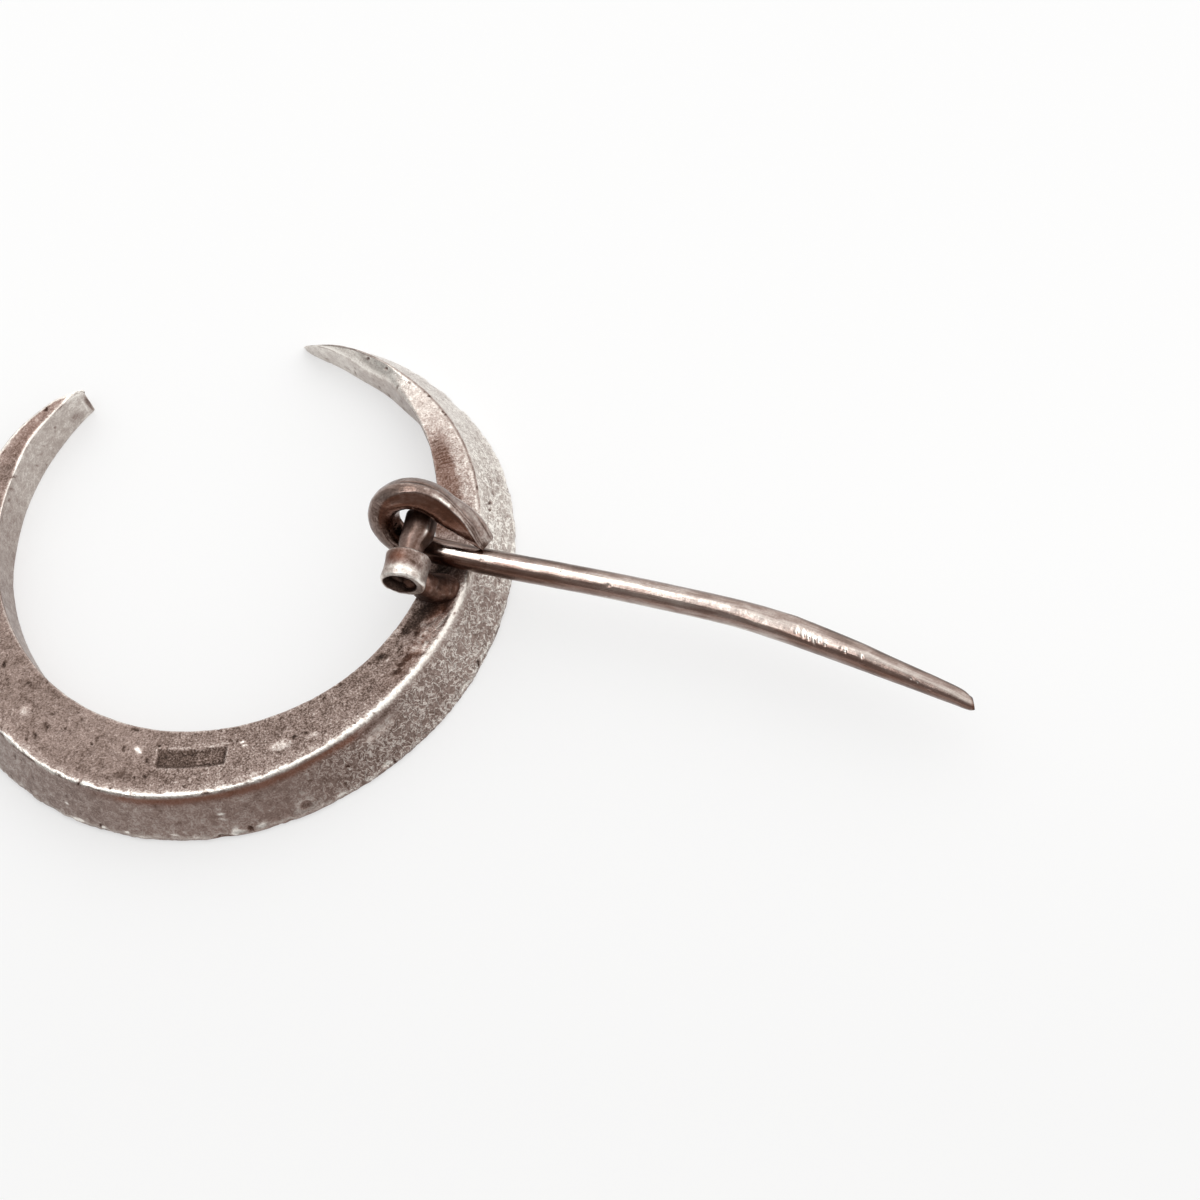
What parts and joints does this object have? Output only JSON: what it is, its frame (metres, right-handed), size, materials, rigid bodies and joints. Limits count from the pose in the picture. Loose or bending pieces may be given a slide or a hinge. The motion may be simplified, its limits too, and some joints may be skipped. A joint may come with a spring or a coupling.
{
  "type": "crescent moon brooch",
  "caption": "Open crescent brooch of tarnished silver, lying face down, with a hinged wire pin and a hook catch on its faceted back.",
  "frame": {"origin": "on the flat front, at the middle of the band where the crescent is widest", "axes": "+Z out of the back, away from the front that it lies on; +Y towards the horns; +X towards the hinge and the tip of the open pin"},
  "size_m": [0.0456, 0.0249, 0.0063],
  "materials": {
    "tarnished_silver": "worn, tarnished silver",
    "rivet": "dull, dark",
    "pin_wire": "polished by wear, brown tarnish below"
  },
  "bodies": {
    "brooch": {"crescent": "tarnished_silver", "hinge_rivet": "rivet"},
    "pin": {"pin": "pin_wire"}
  },
  "joints": [
    {"name": "pin_swing", "type": "hinge", "parent": "brooch", "child": "pin", "pos_m": [0.00957, 0.0091, 0.00435], "axis": [-0.1045, -0.9945, 0], "range_deg": [0, 185]}
  ]
}
